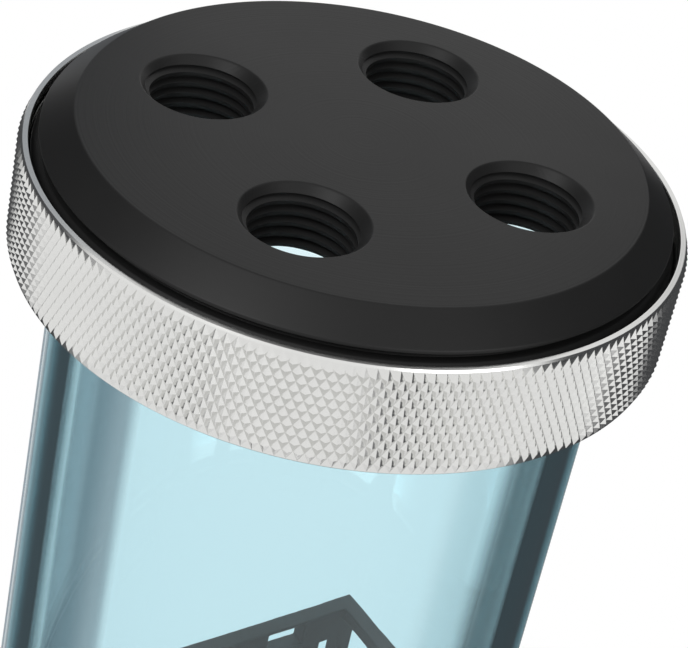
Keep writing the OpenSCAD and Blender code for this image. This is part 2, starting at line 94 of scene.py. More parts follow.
# Studio: places in metres, and compass angles in degrees from +X towards +Y
CAMERA_SPOT = Vector((0.1955, -0.12167, 0.31634))
CAMERA_AHEAD = Vector((-0.7037, 0.4466, -0.5527))
CAMERA_RIGHT = Vector((0.4232, 0.8882, 0.1789))
CAMERA_LENS, CAMERA_SENSOR, CAMERA_SHIFT = 125.9, 36, -0.0015
FLOOR_SIZE = 6
SHADOW_FLOOR, WHITE_FLOOR = 0.06, 0.11       # radii between which the floor turns to white
LIGHT_LEVEL, BACKDROP_LEVEL = 0.55, 1.0      # of the surroundings, as a light and as seen
LAMPS = (("key", (0.25, -0.75, 0.95), 6.0), ("fill", (0.9, 0.2, 0.6), 3.0))     # name, place, watts
LAMP_SIZE, LAMP_AIM = 0.6, (0, 0, 0.12)
CARD_RADIUS, CARD_HEIGHT, CARD_STEPS = 0.105, 0.3, 24
# Each card's name, first and last compass angle, fade at its ends, and tone
CARDS = (("right_card", 26, 121, 9, "4a4b4d"), ("left_card", 187, 262, 14, "505153"),
         ("side_card", 168.5, 189, 3, "a9adb2"))


# ---- Sizes and colours that a user would change ----

def linear(hex_text):
    """An sRGB hex colour as linear red, green and blue."""
    srgb = [int(hex_text[i:i + 2], 16) / 255 for i in (0, 2, 4)]
    return tuple(c / 12.92 if c <= 0.04045 else ((c + 0.055) / 1.055) ** 2.4 for c in srgb)


def length(name, description, millimetres):
    return bpy.props.FloatProperty(name=name, description=description, default=millimetres * MM,
                                   min=0.0, precision=5, unit="LENGTH")


def colour(name, description, hex_text):
    return bpy.props.FloatVectorProperty(name=name, description=description, default=linear(hex_text),
                                         min=0.0, max=1.0, size=3, subtype="COLOR")


def count(name, description, default, least, most):
    return bpy.props.IntProperty(name=name, description=description, default=default, min=least, max=most)


class CapSizes(bpy.types.PropertyGroup):
    face_r: length("Face radius", "Radius of the flat top", 31.85)
    side_r: length("Side radius", "Radius below the chamfer", 35.3)
    chamfer: length("Chamfer height", "Height of the wide chamfer", 2.85)
    land: length("Land height", "Straight side below the chamfer", 0.5)
    groove_r: length("Groove radius", "Radius at the bottom of the relief groove", 34.0)
    groove: length("Groove height", "Height of the relief groove", 1.0)
    plate: length("Plate", "Thickness that the ports go through", 7.5)
    edge: length("Broken edge", "Width by which each turned edge is broken", 0.15)


class ThreadSizes(bpy.types.PropertyGroup):
    port_r: length("Port bore", "Radius over the crests of a port's thread", 5.9)
    port_root_r: length("Port root", "Radius at the bottom of a port's thread", 6.58)
    port_mouth_r: length("Port mouth", "Radius of the countersink", 7.15)
    port_pitch: length("Port pitch", "Pitch of the ports' thread", 1.337)
    ring_pitch: length("Ring pitch", "Pitch of the compression rings' thread", 1.5)
    ring_crest_r: length("Cap thread crest", "Outer radius of the thread that a ring screws on", 35.95)
    ring_root_r: length("Cap thread root", "Inner radius of the thread that a ring screws on", 35.1)
    slack: length("Slack", "Room between a ring's thread and the cap's", 0.12)


class RingSizes(bpy.types.PropertyGroup):
    columns: count("Diamonds round", "Knurl diamonds in one row", 198, 24, 400)
    rows: count("Diamond rows", "Knurl diamonds from edge to edge", 6, 2, 12)
    depth: length("Knurl depth", "From a diamond's tip to the grooves round it", 0.42)
    bevel: length("Mouth bevel", "Bevel between the flat land and the knurl", 0.56)
    knurl_from: length("Knurl start", "Distance from the mouth to the first diamonds", 0.26)
    knurl_to: length("Knurl end", "Distance from the last diamonds to the lip's face", 0.12)
    mouth_r: length("Mouth radius", "Inner radius of the plain mouth", 36.25)
    mouth: length("Mouth depth", "Depth of the plain mouth", 1.6)
    bore_r: length("Bore radius", "Radius over the crests of the ring's thread", 35.3)
    lip_r: length("Lip radius", "Inner radius of the lip", 32.1)
    lip: length("Lip height", "Height of the lip that presses the slip washer", 2.0)


class TubeSizes(bpy.types.PropertyGroup):
    wall: length("Wall", "Wall of the tube", 3.2)
    edge: length("Broken edge", "Width by which the sawn ends' edges are broken", 0.3)


class Finishes(bpy.types.PropertyGroup):
    acetal: colour("Acetal", "Black acetal of the cap, the cage and the block", "1b1b1b")
    aluminium: colour("Aluminium", "Machined aluminium of the rings", "dcdcda")
    acrylic: colour("Acrylic", "What the tube's wall lets through", "00daee")
    rubber: colour("Rubber", "Seals and cable gland", "17181a")
    plastic: colour("Pump plastic", "Moulded can and cover of the pump", "242629")
    floor: colour("Floor", "Floor of the studio", "f2f2f2")


GROUPS = {"cap_sizes": CapSizes, "thread_sizes": ThreadSizes, "ring_sizes": RingSizes,
          "tube_sizes": TubeSizes, "finishes": Finishes}


# ---- Modelling, as by hand ----

def activate(piece):
    """Makes a piece the only one selected, and active."""
    bpy.ops.object.select_all(action="DESELECT")
    piece.select_set(True)
    bpy.context.view_layer.objects.active = piece


def pick(kind, wanted):
    """Selects in edit mode the verts, edges or faces for which wanted is true."""
    piece = bpy.context.object
    bpy.ops.mesh.select_mode(type={"verts": "VERT", "edges": "EDGE", "faces": "FACE"}[kind])
    bpy.ops.mesh.select_all(action="DESELECT")
    mesh = bmesh.from_edit_mesh(piece.data)
    for item in getattr(mesh, kind):
        if wanted(item):
            item.select_set(True)
    mesh.select_flush_mode()
    bmesh.update_edit_mesh(piece.data)


def close_up(piece):
    """Leaves edit mode with all faces pointing outwards."""
    bpy.ops.mesh.select_mode(type="VERT")
    bpy.ops.mesh.select_all(action="SELECT")
    bpy.ops.mesh.normals_make_consistent(inside=False)
    bpy.ops.object.mode_set(mode="OBJECT")
    return piece


def ring_on(r, z, reached):
    """Extrudes the selected rim from a radius and height to the next, round the Z axis."""
    next_r, next_z = reached
    bpy.ops.mesh.extrude_edges_move(TRANSFORM_OT_translate={"value": (0, 0, next_z - z)})
    bpy.ops.transform.resize(value=(next_r / r, next_r / r, 1), center_override=(0, 0, next_z))
    return next_r, next_z


def turned(name, profile, segments, edge=0.0):
    """A turned piece, drawn as points of (radius, height) round one side of its section. A profile that
    starts on the axis has flat ends, and any other is closed into a ring. Each corner is broken by edge."""
    points = broken(profile, edge)
    solid = points[0][0] == 0
    loop = points[1:-1] if solid else points + points[:1]
    bpy.ops.object.select_all(action="DESELECT")
    r, z = loop[0]
    bpy.ops.mesh.primitive_circle_add(vertices=segments, radius=r, location=(0, 0, z),
                                      fill_type="NGON" if solid else "NOTHING")
    piece = bpy.context.object
    piece.name = piece.data.name = name
    bpy.ops.object.transform_apply(location=True)
    bpy.ops.object.mode_set(mode="EDIT")
    bpy.ops.mesh.select_mode(type="EDGE")
    bpy.ops.mesh.select_all(action="SELECT")
    for reached in loop[1:]:
        r, z = ring_on(r, z, reached)
    if solid:
        bpy.ops.mesh.edge_face_add()
    bpy.ops.mesh.select_all(action="SELECT")
    bpy.ops.mesh.remove_doubles(threshold=1e-6)
    return close_up(piece)


def broken(profile, edge):
    """A profile with each corner off the axis replaced by two points, so that its edge is broken."""
    if not edge:
        return list(profile)
    points = []
    for i, here in enumerate(profile):
        if here[0] == 0:
            points.append(here)
            continue
        here = Vector(here)
        for other in (profile[i - 1], profile[(i + 1) % len(profile)]):
            side = Vector(other) - here
            points.append(tuple(here + side.normalized() * min(edge, 0.3 * side.length)))
    return points


def thread(name, section, pitch, turns, low, steps=72):
    """A right-hand thread as a solid: a section of (radius, height) wound up the Z axis from low."""
    bpy.ops.object.select_all(action="DESELECT")
    bpy.ops.mesh.primitive_circle_add(vertices=len(section), radius=1, fill_type="NGON")
    piece = bpy.context.object
    piece.name = piece.data.name = name
    for vertex, (r, z) in zip(piece.data.vertices, section):
        vertex.co = (r, 0, low + z)
    screw = piece.modifiers.new("Winding", "SCREW")
    screw.angle = math.tau
    screw.screw_offset = pitch
    screw.iterations = turns
    screw.steps = screw.render_steps = steps
    screw.use_smooth_shade = False
    bpy.ops.object.modifier_apply(modifier=screw.name)
    bpy.ops.object.mode_set(mode="EDIT")
    pick("edges", lambda e: e.is_boundary)
    bpy.ops.mesh.fill_holes(sides=len(section))
    return close_up(piece)


def groove(bore_r, root_r, pitch, crest=0.3):
    """The section of an internal thread's groove, from inside the bore to its root."""
    half, flat = pitch * (1 - crest) / 2, pitch * 0.09
    slope = (half - flat) / (root_r - bore_r)
    inner = bore_r - 0.3 * (root_r - bore_r)
    wide = min(half + slope * (bore_r - inner), pitch * 0.49)
    return [(inner, -wide), (root_r, -flat), (root_r, flat), (inner, wide)]


def shift(piece, spot, turn=None):
    """Puts a tool's mesh in its place, after an optional turn."""
    piece.data.transform(Matrix.Translation(spot) @ (turn or Matrix.Identity(4)))
    return piece


def joined(pieces):
    """Several solids that don't touch, as one object."""
    bpy.ops.object.select_all(action="DESELECT")
    for piece in pieces:
        piece.select_set(True)
    bpy.context.view_layer.objects.active = pieces[0]
    bpy.ops.object.join()
    return pieces[0]


def cut(piece, tool, operation="DIFFERENCE"):
    """Cuts or joins one solid with another, which is used up."""
    activate(piece)
    boolean = piece.modifiers.new("Cut", "BOOLEAN")
    boolean.operation = operation
    boolean.solver = "EXACT"
    boolean.object = tool
    bpy.ops.object.modifier_apply(modifier=boolean.name)
    bpy.data.objects.remove(tool)
    return piece


def bevelled(piece, width, segments=2, angle=40):
    """Rounds a piece's sharp edges."""
    activate(piece)
    bevel = piece.modifiers.new("Edges", "BEVEL")
    bevel.width = width
    bevel.segments = segments
    bevel.limit_method = "ANGLE"
    bevel.angle_limit = math.radians(angle)
    bevel.harden_normals = True
    bpy.ops.object.modifier_apply(modifier=bevel.name)
    return piece


def smoothed(piece, angle=30):
    """Shades round surfaces smooth, with flat faces kept flat."""
    activate(piece)
    bpy.ops.object.shade_smooth_by_angle(angle=math.radians(angle))
    weights = piece.modifiers.new("Flat faces", "WEIGHTED_NORMAL")
    weights.keep_sharp = True
    bpy.ops.object.modifier_apply(modifier=weights.name)
    return piece


def copy_of(node, name):
    """A merged copy of a CAD node's mesh, to be worked on."""
    piece = bpy.data.objects.new(name, NODES[node].data.copy())
    piece.data.name = name
    piece.data.materials.clear()
    bpy.context.scene.collection.objects.link(piece)
    activate(piece)
    bpy.ops.object.mode_set(mode="EDIT")
    bpy.ops.mesh.select_all(action="SELECT")
    bpy.ops.mesh.remove_doubles(threshold=2e-6)
    bpy.ops.mesh.dissolve_limited(angle_limit=math.radians(0.3))
    bpy.ops.object.mode_set(mode="OBJECT")
    return piece


def fit(piece, material, body, slot, *nodes):
    """Gives a finished piece its material, hangs it under its body's empty, and hides the CAD nodes that it
    takes the place of.
    """
    piece.data.materials.clear()
    piece.data.materials.append(material)
    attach(piece, body)
    if nodes:
        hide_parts(*nodes)
    return piece


# ---- Finishes ----

def add(tree, kind, inputs=None, **settings):
    """Adds a node. inputs gives its sockets, by name or number, a value or another node's output."""
    made = tree.nodes.new(kind)
    for key, value in settings.items():
        setattr(made, key, value)
    for key, value in (inputs or {}).items():
        if isinstance(value, bpy.types.NodeSocket):
            tree.links.new(value, made.inputs[key])
        else:
            made.inputs[key].default_value = value
    return made


def finish_of(name, base, roughness, metallic=0.0, **sockets):
    """A new material with its base colour, roughness and metallic, and its tree, shader and coordinates."""
    material = bpy.data.materials.new(name)
    material.use_nodes = True
    tree = material.node_tree
    shader = tree.nodes["Principled BSDF"]
    shader.inputs["Base Color"].default_value = (*base, 1)
    shader.inputs["Roughness"].default_value = roughness
    shader.inputs["Metallic"].default_value = metallic
    for key, value in sockets.items():
        shader.inputs[key.replace("_", " ")].default_value = value
    return material, tree, shader, add(tree, "ShaderNodeTexCoord").outputs["Object"]


def shade(base, factor):
    """A lighter or darker colour, with its alpha."""
    return (*(min(1, c * factor) for c in base), 1)


def vary(tree, shader, base, amount, where, spread):
    """Lets the base colour and the roughness wander a little with a mask of 0 to 1, which is a noise in most
    finishes, the seams in the laminated steel, and the painted shade between the wires in the wound copper.
    """
    mixed = add(tree, "ShaderNodeMix", {0: where, 6: shade(base, 1 - amount), 7: shade(base, 1 + amount)},
                data_type="RGBA")
    tree.links.new(mixed.outputs[2], shader.inputs["Base Color"])
    rough = shader.inputs["Roughness"].default_value
    moved = add(tree, "ShaderNodeMapRange",
                {"Value": where, "To Min": max(0, rough - spread), "To Max": min(1, rough + spread)})
    tree.links.new(moved.outputs["Result"], shader.inputs["Roughness"])


def radius_from_axis(tree, place):
    """The distance from the Z axis, in metres."""
    flat = add(tree, "ShaderNodeVectorMath", {0: place, 1: (1, 1, 0)}, operation="MULTIPLY")
    return add(tree, "ShaderNodeVectorMath", {0: flat.outputs[0]}, operation="LENGTH").outputs["Value"]


def turned_acetal(name, base):
    """Black acetal, turned on a lathe: satin, with fine rings from the tool and a few dust specks."""
    material, tree, shader, place = finish_of(name, base, 0.42, Specular_IOR_Level=0.17, IOR=1.48)
    feed_mark = 0.00035      # the tool's feed is about 0.1 mm, drawn coarser so that it shows
    away = add(tree, "ShaderNodeMath", {0: radius_from_axis(tree, place), 1: 1 / feed_mark},
               operation="MULTIPLY")
    height = add(tree, "ShaderNodeSeparateXYZ", {0: place}).outputs["Z"]
    down = add(tree, "ShaderNodeMath", {0: height, 1: 1 / feed_mark}, operation="MULTIPLY")
    feed = add(tree, "ShaderNodeMath", {0: away.outputs[0], 1: down.outputs[0]}, operation="ADD")
    rings = add(tree, "ShaderNodeTexNoise", {"W": feed.outputs[0], "Scale": 1.0, "Detail": 3.0},
                noise_dimensions="1D")
    cloud = add(tree, "ShaderNodeTexNoise", {"Vector": place, "Scale": 90.0, "Detail": 4.0})
    vary(tree, shader, base, 0.12, cloud.outputs["Fac"], 0.05)
    dust = add(tree, "ShaderNodeTexNoise", {"Vector": place, "Scale": 1500.0, "Detail": 2.0})
    both = add(tree, "ShaderNodeMath", {0: dust.outputs["Fac"], 1: 0.35, 2: rings.outputs["Fac"]},
               operation="MULTIPLY_ADD")
    bump = add(tree, "ShaderNodeBump", {"Strength": 0.22, "Distance": 0.00005, "Height": both.outputs[0]})
    tree.links.new(bump.outputs["Normal"], shader.inputs["Normal"])
    return material


def milled_acetal(name, base):
    """Black acetal, milled: satin and even, with faint grain."""
    material, tree, shader, place = finish_of(name, base, 0.45, Specular_IOR_Level=0.42, IOR=1.48)
    cloud = add(tree, "ShaderNodeTexNoise", {"Vector": place, "Scale": 70.0, "Detail": 5.0})
    vary(tree, shader, base, 0.14, cloud.outputs["Fac"], 0.06)
    grain = add(tree, "ShaderNodeTexNoise", {"Vector": place, "Scale": 2200.0, "Detail": 2.0})
    bump = add(tree, "ShaderNodeBump", {"Strength": 0.3, "Distance": 0.00004, "Height": grain.outputs["Fac"]})
    tree.links.new(bump.outputs["Normal"], shader.inputs["Normal"])
    return material


def moulded(name, base, roughness=0.5, grain=1600.0, depth=0.3, **sockets):
    """A moulded plastic or rubber: the mould's fine grain of about 0.6 mm, softly lit."""
    material, tree, shader, place = finish_of(name, base, roughness, **sockets)
    cloud = add(tree, "ShaderNodeTexNoise", {"Vector": place, "Scale": 60.0, "Detail": 3.0})
    vary(tree, shader, base, 0.1, cloud.outputs["Fac"], 0.05)
    skin = add(tree, "ShaderNodeTexNoise", {"Vector": place, "Scale": grain, "Detail": 3.0})
    bump = add(tree, "ShaderNodeBump", {"Strength": depth, "Distance": 0.00006, "Height": skin.outputs["Fac"]})
    tree.links.new(bump.outputs["Normal"], shader.inputs["Normal"])
    return material


def machined(name, base, roughness=0.18, mark=0.0003):
    """Bare or plated metal, turned: bright, with fine rings that spread its highlights."""
    material, tree, shader, place = finish_of(name, base, roughness, metallic=1.0)
    cloud = add(tree, "ShaderNodeTexNoise", {"Vector": place, "Scale": 120.0, "Detail": 4.0})
    vary(tree, shader, base, 0.05, cloud.outputs["Fac"], 0.05)
    # Tool marks of about 0.05 mm, drawn coarser so that they show
    scaled = add(tree, "ShaderNodeMath", {0: radius_from_axis(tree, place), 1: 1 / mark}, operation="MULTIPLY")
    height = add(tree, "ShaderNodeSeparateXYZ", {0: place}).outputs["Z"]
    feed = add(tree, "ShaderNodeMath", {0: height, 1: 1 / mark, 2: scaled.outputs[0]}, operation="MULTIPLY_ADD")
    rings = add(tree, "ShaderNodeTexNoise", {"W": feed.outputs[0], "Scale": 1.0, "Detail": 2.0},
                noise_dimensions="1D")
    bump = add(tree, "ShaderNodeBump", {"Strength": 0.12, "Distance": 0.00003, "Height": rings.outputs["Fac"]})
    tree.links.new(bump.outputs["Normal"], shader.inputs["Normal"])
    return material


def cast_acrylic(name, through):
    """Cast acrylic tube with a blue tint: clear, glossy, and darker where more of it is looked through."""
    density = 78.0           # how much of the tint a metre of wall takes up
    material, tree, shader, place = finish_of(name, (1, 1, 1), 0.0, IOR=1.49, Transmission_Weight=1.0)
    # Drawing lines along the tube, a few millimetres apart and very shallow
    along = add(tree, "ShaderNodeMapping", {"Vector": place, "Scale": (1, 1, 0.08)})
    draw = add(tree, "ShaderNodeTexNoise", {"Vector": along.outputs[0], "Scale": 260.0, "Detail": 2.0})
    bump = add(tree, "ShaderNodeBump", {"Strength": 0.05, "Distance": 0.0001, "Height": draw.outputs["Fac"]})
    tree.links.new(bump.outputs["Normal"], shader.inputs["Normal"])
    tint = add(tree, "ShaderNodeVolumeAbsorption", {"Color": (*through, 1), "Density": density})
    tree.links.new(tint.outputs[0], tree.nodes["Material Output"].inputs["Volume"])
    return material


def laminated(name, base):
    """Stacked electrical steel: sheets of 0.5 mm with dark seams between them."""
    material, tree, shader, place = finish_of(name, base, 0.4, metallic=1.0)
    height = add(tree, "ShaderNodeSeparateXYZ", {0: place}).outputs["Z"]
    sheet_height = 0.0005
    sheet = add(tree, "ShaderNodeMath", {0: height, 1: sheet_height}, operation="MODULO")
    seam = add(tree, "ShaderNodeMapRange", {"Value": sheet.outputs[0], "From Max": 0.0001})
    vary(tree, shader, base, 0.3, seam.outputs[0], 0.1)
    bump = add(tree, "ShaderNodeBump", {"Strength": 0.5, "Distance": 0.0001, "Height": seam.outputs[0]})
    tree.links.new(bump.outputs["Normal"], shader.inputs["Normal"])
    return material


def wound_wire(name, base):
    """Enamelled copper wire of 0.6 mm, lying side by side: warm metal under a glossy coat, with painted shade
    in the creases between the wires and a painted lighter band on their crests.
    """
    material, tree, shader, place = finish_of(name, base, 0.3, metallic=1.0, Coat_Weight=0.6)
    height = add(tree, "ShaderNodeSeparateXYZ", {0: place}).outputs["Z"]
    wire_width = 0.0006
    wire = add(tree, "ShaderNodeMath", {0: height, 1: math.tau / wire_width}, operation="MULTIPLY")
    round_ = add(tree, "ShaderNodeMath", {0: wire.outputs[0]}, operation="SINE")
    half = add(tree, "ShaderNodeMapRange", {"Value": round_.outputs[0], "From Min": -1.0})
    # Painted shade: the base colour is darker in the creases between the wires and lighter on their crests,
    # following the bump's height
    vary(tree, shader, base, 0.35, half.outputs[0], 0.05)
    bump = add(tree, "ShaderNodeBump", {"Strength": 0.8, "Distance": 0.0002, "Height": half.outputs[0]})
    tree.links.new(bump.outputs["Normal"], shader.inputs["Normal"])
    return material


def solder_mask(name, base):
    """A circuit board: glossy solder mask over a faint grid of tracks, 1.5 mm apart."""
    material, tree, shader, place = finish_of(name, base, 0.3, Coat_Weight=0.4)
    tracks = add(tree, "ShaderNodeTexBrick", {
        "Vector": place, "Color1": shade(base, 1.25), "Color2": shade(base, 0.9), "Mortar": shade(base, 0.7),
        "Scale": 330.0, "Mortar Size": 0.03})
    tree.links.new(tracks.outputs["Color"], shader.inputs["Base Color"])
    bump = add(tree, "ShaderNodeBump", {"Strength": 0.3, "Distance": 0.00005, "Height": tracks.outputs["Fac"]})
    tree.links.new(bump.outputs["Normal"], shader.inputs["Normal"])
    return material


def make_finishes(colours):
    """Each material slot's finish, by the slot's name."""
    return {
        "acetal": turned_acetal("turned_acetal", colours.acetal),
        "tinted_acrylic": cast_acrylic("cast_acrylic", colours.acrylic),
        "knurled_aluminium": machined("machined_aluminium", colours.aluminium),
        "washer_nylon": moulded("nylon", linear("e6e3d8"), 0.4, Subsurface_Weight=0.1),
        "seal_rubber": moulded("seal_rubber", colours.rubber, 0.55, depth=0.15),
        "plug_nickel": machined("nickel_plate", linear("cfc9bd"), 0.14),
        "anodised_black": machined("black_anodised_aluminium", linear("2a2b2d"), 0.42),
        "well_steel": machined("drawn_steel", linear("b9bab9"), 0.3),
        "pin_steel": machined("ground_steel", linear("c9c9c8"), 0.15),
        "ball_ceramic": moulded("ceramic", linear("f0ede4"), 0.08, depth=0.02, Coat_Weight=0.5),
        "cup_carbon": moulded("carbon_graphite", linear("2c2d30"), 0.38),
        "rotor_plastic": moulded("filled_plastic", linear("3a3c3f"), 0.45),
        "magnet_ferrite": moulded("ferrite", linear("45423e"), 0.6, grain=2600.0),
        "can_plastic": moulded("moulded_can", colours.plastic, 0.48, grain=1900.0, depth=0.4),
        "stator_steel": laminated("laminated_steel", linear("8f9296")),
        "winding_copper": wound_wire("enamelled_copper", linear("b8642f")),
        "board_green": solder_mask("solder_mask", linear("14532d")),
        "component_epoxy": moulded("epoxy", linear("232425"), 0.4),
        "pot_blue": moulded("blue_housing", linear("2b4f9e"), 0.4),
        "dial_red": moulded("red_dial", linear("b3231f"), 0.4),
        "gland_rubber": moulded("gland_rubber", colours.rubber, 0.62, depth=0.25),
        "block_acetal": milled_acetal("milled_acetal", colours.acetal),
        "marking": moulded("white_filling", linear("e8e8e4"), 0.6, depth=0.1),
    }


# ---- Pieces ----

FINISH = {}          # the finish of each material slot, once the finishes are made


def port_tool(sizes, depth):
    """The smooth part of a port: its bore, and a countersink with rounded edges."""
    bore, mouth = sizes.port_r, sizes.port_mouth_r
    lead = mouth - bore
    return turned("port_tool", [
        (0, -depth), (bore, -depth), (bore, -lead - 0.2 * MM), (bore + 0.1 * MM, -lead + 0.02 * MM),
        (mouth - 0.16 * MM, -0.2 * MM), (mouth - 0.04 * MM, -0.08 * MM), (mouth + 0.12 * MM, 0),
        (mouth + 0.14 * MM, 0.2 * MM), (0, 0.2 * MM)], 96)


def tap(sizes, depth, from_top=0.48 * MM):
    """The thread that a tap cuts in a port, down to a depth."""
    turns = math.ceil((depth - from_top) / sizes.port_pitch)
    return thread("tap", groove(sizes.port_r, sizes.port_root_r, sizes.port_pitch), sizes.port_pitch,
                  turns, -from_top - turns * sizes.port_pitch)


def die(sizes, phase, low, high):
    """The thread that a die cuts between two heights. Its grooves are whole pitches from phase."""
    pitch, crest, root = sizes.ring_pitch, sizes.ring_crest_r, sizes.ring_root_r
    start = phase + pitch * math.floor((low - phase) / pitch)
    turns = math.floor((high - start) / pitch)
    return thread("die", [(crest + 0.3 * MM, -0.46 * pitch), (root, -0.1 * pitch), (root, 0.1 * pitch),
                          (crest + 0.3 * MM, 0.46 * pitch)], pitch, turns, start, WIDE_THREAD_STEPS)


class RESERVOIR_OT_finishes(bpy.types.Operator):
    """Makes every finish and gives each frame part its own"""
    bl_idname = "reservoir.finishes"
    bl_label = "Finishes"

    def execute(self, context):
        FINISH.update(make_finishes(context.scene.finishes))
        for part in frame["record"]["subparts"]:
            mesh = NODES[part["node"]].data
            mesh.materials.clear()
            mesh.materials.append(FINISH[part["material_slot"]])
        return {"FINISHED"}


class RESERVOIR_OT_cap(bpy.types.Operator):
    """Turns the cap, drills and taps its four ports, and cuts the thread for the upper ring"""
    bl_idname = "reservoir.cap"
    bl_label = "Cap"

    def execute(self, context):
        sizes, threads = context.scene.cap_sizes, context.scene.thread_sizes
        crest, root = threads.ring_crest_r, threads.ring_root_r
        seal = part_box("top_tube_seal")[1]
        seal_r, seal_top, seat_r = seal.x + 0.1 * MM, seal.z + 0.05 * MM, TUBE_R + 0.1 * MM
        neck_top = TOP - sizes.chamfer - sizes.land
        neck_end = neck_top - sizes.groove
        cap = turned("ported_cap", [
            (0, TOP), (sizes.face_r, TOP), (sizes.side_r, TOP - sizes.chamfer), (sizes.side_r, neck_top),
            (sizes.groove_r, neck_top), (sizes.groove_r, neck_end), (root, neck_end),
            (crest, neck_end - crest + root), (crest, CAP_END + 0.4 * MM), (crest - 0.4 * MM, CAP_END),
            (seal_r, CAP_END), (seal_r, seal_top), (seat_r, seal_top), (seat_r, TOP - sizes.plate),
            (0, TOP - sizes.plate)], ROUND, sizes.edge)
        spots = [Vector((port.x, port.y, TOP)) for port in PORTS]
        cut(cap, joined([shift(port_tool(threads, sizes.plate + 1 * MM), spot) for spot in spots]))
        cut(cap, joined([shift(tap(threads, sizes.plate + 0.5 * MM), spot) for spot in spots]))
        cut(cap, die(threads, RING_TOP, CAP_END - threads.ring_pitch, neck_end + 0.6 * MM))
        fit(smoothed(cap, 35), FINISH["acetal"], "reservoir", "acetal", "top_cap")
        return {"FINISHED"}


class RESERVOIR_OT_rings(bpy.types.Operator):
    """Knurls the upper compression ring, turns and taps its inside, and turns a copy over for the lower one"""
    bl_idname = "reservoir.rings"
    bl_label = "Knurled rings"

    def execute(self, context):
        sizes, threads = context.scene.ring_sizes, context.scene.thread_sizes
        root = RING_R - sizes.depth
        end = RING_TOP - RING_H
        top, bottom = RING_TOP - sizes.knurl_from, end + sizes.knurl_to
        cell = (top - bottom) / sizes.rows
        # A grid of cells, each poked to its middle. The knurl's grooves cross at corners and middles,
        # and the middle of each of the grid's edges is a diamond's tip.
        bpy.ops.object.select_all(action="DESELECT")
        bpy.ops.mesh.primitive_circle_add(vertices=sizes.columns, radius=root, location=(0, 0, top))
        ring = context.object
        ring.name = ring.data.name = "upper_knurled_ring"
        bpy.ops.object.transform_apply(location=True)
        first = math.atan2(ring.data.vertices[0].co.y, ring.data.vertices[0].co.x)
        bpy.ops.object.mode_set(mode="EDIT")
        bpy.ops.mesh.select_mode(type="EDGE")
        bpy.ops.mesh.select_all(action="SELECT")
        for _ in range(sizes.rows):
            bpy.ops.mesh.extrude_edges_move(TRANSFORM_OT_translate={"value": (0, 0, -cell)})
        bpy.ops.mesh.select_all(action="SELECT")
        bpy.ops.mesh.poke()
        pick("edges", lambda e: abs(abs(e.verts[0].co.z - e.verts[1].co.z) - cell / 2) > cell / 4)
        bpy.ops.mesh.subdivide(number_cuts=1, ngon=False)

        # Land, mouth, bore and lip, from the knurl's upper edge round to its lower edge
        soft = 0.12 * MM
        pick("edges", lambda e: all(v.co.z > top - 1e-6 for v in e.verts))
        r, z = root, top
        for reached in [
                (RING_R - sizes.bevel, RING_TOP), (sizes.mouth_r + soft, RING_TOP),
                (sizes.mouth_r, RING_TOP - soft), (sizes.mouth_r, RING_TOP - sizes.mouth),
                (sizes.bore_r, RING_TOP - sizes.mouth - 0.6 * MM), (sizes.bore_r, end + sizes.lip),
                (sizes.lip_r, end + sizes.lip), (sizes.lip_r, end + soft), (sizes.lip_r + soft, end),
                (root - 0.1 * MM, end)]:
            r, z = ring_on(r, z, reached)
        pick("edges", lambda e: e.is_boundary)
        bpy.ops.mesh.bridge_edge_loops()

        def is_tip(v):
            column = round((math.atan2(v.co.y, v.co.x) - first) * sizes.columns / math.pi)
            row = round((top - v.co.z) * 2 / cell)
            on_band = v.co.xy.length > root - 0.05 * MM and 0 < row < 2 * sizes.rows
            return on_band and (column + row) % 2 == 1

        pick("verts", is_tip)
        out = RING_R / root
        bpy.ops.transform.resize(value=(out, out, 1), center_override=(0, 0, 0))
        close_up(ring)
        mouth_end = RING_TOP - sizes.mouth
        pitch = threads.ring_pitch
        crest, slack = threads.ring_crest_r, threads.slack
        start = RING_TOP + pitch / 2 + pitch * math.floor((end + sizes.lip - RING_TOP) / pitch)
        turns = math.ceil((mouth_end - start) / pitch)
        cut(ring, thread("ring_tap", [
            (sizes.bore_r - 0.3 * MM, -0.47 * pitch), (crest + slack, -0.13 * pitch),
            (crest + slack, 0.13 * pitch), (sizes.bore_r - 0.3 * MM, 0.47 * pitch)],
            pitch, turns, start, WIDE_THREAD_STEPS))
        activate(ring)
        bpy.ops.object.shade_smooth_by_angle(angle=math.radians(20))

        # A screw thread keeps its hand when it is turned over, but not in a mirror
        lower = bpy.data.objects.new("lower_knurled_ring", ring.data.copy())
        context.scene.collection.objects.link(lower)
        shift(lower, (0, 0, RING_TOP + LOW_RING_MOUTH), Matrix.Rotation(math.pi, 4, "X"))
        metal = FINISH["knurled_aluminium"]
        fit(ring, metal, "top_ring", "knurled_aluminium", "top_ring")
        fit(lower, metal, "bottom_ring", "knurled_aluminium", "bottom_ring")
        return {"FINISHED"}


class RESERVOIR_OT_tube(bpy.types.Operator):
    """Saws and finishes the tinted tube"""
    bl_idname = "reservoir.tube"
    bl_label = "Tube"

    def execute(self, context):
        inner = TUBE_R - context.scene.tube_sizes.wall
        tube = turned("tinted_tube", [
            (inner, TUBE_FROM), (TUBE_R, TUBE_FROM), (TUBE_R, TUBE_TO), (inner, TUBE_TO)],
                      ROUND, context.scene.tube_sizes.edge)
        fit(smoothed(tube), FINISH["tinted_acrylic"], "reservoir", "tinted_acrylic", "reservoir_tube")
        return {"FINISHED"}


class RESERVOIR_OT_cage(bpy.types.Operator):
    """Breaks the edges of the cage that stops the coolant from spinning"""
    bl_idname = "reservoir.cage"
    bl_label = "Vortex cage"

    def execute(self, context):
        cage = bevelled(copy_of("vortex_cage", "milled_cage"), 0.25 * MM)
        fit(cage, FINISH["block_acetal"], "reservoir", "acetal", "vortex_cage")
        return {"FINISHED"}


